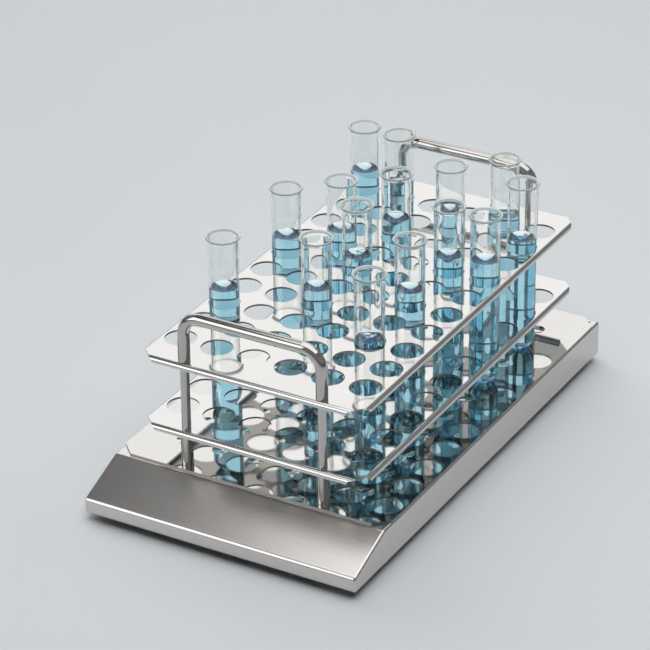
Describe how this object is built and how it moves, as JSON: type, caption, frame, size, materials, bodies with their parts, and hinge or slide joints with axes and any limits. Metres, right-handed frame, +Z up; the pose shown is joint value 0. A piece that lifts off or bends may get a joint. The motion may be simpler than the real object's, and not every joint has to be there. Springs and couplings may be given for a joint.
{
  "type": "test tube rack",
  "caption": "Steel test tube rack: two perforated plates and a mirror deck on posts, with two wire handles, filled glass tubes and a separate low base with a sloped front.",
  "frame": {"origin": "on the floor, under the middle of the base's outline", "axes": "+Z up, +Y along the rack from the sloped end of the base to its upright end, +X across the rack"},
  "size_m": [0.159, 0.278, 0.1244],
  "materials": {
    "brushed_base": "satin brushed stainless steel, brighter along its folds",
    "base_inside": "plain mill finish",
    "mirror_deck": "mirror-polished stainless steel",
    "polished_plate": "mirror-polished stainless steel",
    "polished_rod": "polished stainless rod with faint drawn lines",
    "fastener": "bright stainless screws and nuts",
    "rubber_foot": "matte black rubber",
    "clear_glass": "clear laboratory glass with a flared, fire-polished rim",
    "blue_liquid": "clear blue water-like liquid"
  },
  "bodies": {
    "base": {"base_shell": "brushed_base", "base_floor": "base_inside", "foot_front_left": "rubber_foot", "foot_front_right": "rubber_foot", "foot_rear_left": "rubber_foot", "foot_rear_right": "rubber_foot", "foot_screws": "fastener", "foot_nuts": "fastener"},
    "rack": {"deck": "mirror_deck", "middle_plate": "polished_plate", "top_plate": "polished_plate", "handle_front": "polished_rod", "handle_rear": "polished_rod", "upper_post_front_left": "polished_rod", "upper_post_front_right": "polished_rod", "upper_post_rear_left": "polished_rod", "upper_post_rear_right": "polished_rod", "lower_post_front_left": "polished_rod", "lower_post_front_right": "polished_rod", "lower_post_rear_left": "polished_rod", "lower_post_rear_right": "polished_rod", "post_screws": "fastener"},
    "filled_tube_01": {"tube_01": "clear_glass", "liquid_01": "blue_liquid"},
    "filled_tube_02": {"tube_02": "clear_glass", "liquid_02": "blue_liquid"},
    "filled_tube_03": {"tube_03": "clear_glass", "liquid_03": "blue_liquid"},
    "filled_tube_04": {"tube_04": "clear_glass", "liquid_04": "blue_liquid"},
    "filled_tube_05": {"tube_05": "clear_glass", "liquid_05": "blue_liquid"},
    "filled_tube_06": {"tube_06": "clear_glass", "liquid_06": "blue_liquid"},
    "filled_tube_07": {"tube_07": "clear_glass", "liquid_07": "blue_liquid"},
    "filled_tube_08": {"tube_08": "clear_glass", "liquid_08": "blue_liquid"},
    "filled_tube_09": {"tube_09": "clear_glass", "liquid_09": "blue_liquid"},
    "filled_tube_10": {"tube_10": "clear_glass", "liquid_10": "blue_liquid"},
    "filled_tube_11": {"tube_11": "clear_glass", "liquid_11": "blue_liquid"},
    "filled_tube_12": {"tube_12": "clear_glass", "liquid_12": "blue_liquid"},
    "filled_tube_13": {"tube_13": "clear_glass", "liquid_13": "blue_liquid"},
    "filled_tube_14": {"tube_14": "clear_glass", "liquid_14": "blue_liquid"},
    "filled_tube_15": {"tube_15": "clear_glass", "liquid_15": "blue_liquid"}
  },
  "joints": [
    {"name": "rack_lift", "type": "slide", "parent": "base", "child": "rack", "axis": [0, 0, 1], "range_m": [0, 0.04]},
    {"name": "tube_01_lift", "type": "slide", "parent": "rack", "child": "filled_tube_01", "axis": [0, 0, 1], "range_m": [0, 0.105]},
    {"name": "tube_02_lift", "type": "slide", "parent": "rack", "child": "filled_tube_02", "axis": [0, 0, 1], "range_m": [0, 0.105]},
    {"name": "tube_03_lift", "type": "slide", "parent": "rack", "child": "filled_tube_03", "axis": [0, 0, 1], "range_m": [0, 0.105]},
    {"name": "tube_04_lift", "type": "slide", "parent": "rack", "child": "filled_tube_04", "axis": [0, 0, 1], "range_m": [0, 0.105]},
    {"name": "tube_05_lift", "type": "slide", "parent": "rack", "child": "filled_tube_05", "axis": [0, 0, 1], "range_m": [0, 0.105]},
    {"name": "tube_06_lift", "type": "slide", "parent": "rack", "child": "filled_tube_06", "axis": [0, 0, 1], "range_m": [0, 0.105]},
    {"name": "tube_07_lift", "type": "slide", "parent": "rack", "child": "filled_tube_07", "axis": [0, 0, 1], "range_m": [0, 0.105]},
    {"name": "tube_08_lift", "type": "slide", "parent": "rack", "child": "filled_tube_08", "axis": [0, 0, 1], "range_m": [0, 0.105]},
    {"name": "tube_09_lift", "type": "slide", "parent": "rack", "child": "filled_tube_09", "axis": [0, 0, 1], "range_m": [0, 0.105]},
    {"name": "tube_10_lift", "type": "slide", "parent": "rack", "child": "filled_tube_10", "axis": [0, 0, 1], "range_m": [0, 0.105]},
    {"name": "tube_11_lift", "type": "slide", "parent": "rack", "child": "filled_tube_11", "axis": [0, 0, 1], "range_m": [0, 0.105]},
    {"name": "tube_12_lift", "type": "slide", "parent": "rack", "child": "filled_tube_12", "axis": [0, 0, 1], "range_m": [0, 0.105]},
    {"name": "tube_13_lift", "type": "slide", "parent": "rack", "child": "filled_tube_13", "axis": [0, 0, 1], "range_m": [0, 0.105]},
    {"name": "tube_14_lift", "type": "slide", "parent": "rack", "child": "filled_tube_14", "axis": [0, 0, 1], "range_m": [0, 0.105]},
    {"name": "tube_15_lift", "type": "slide", "parent": "rack", "child": "filled_tube_15", "axis": [0, 0, 1], "range_m": [0, 0.105]}
  ]
}
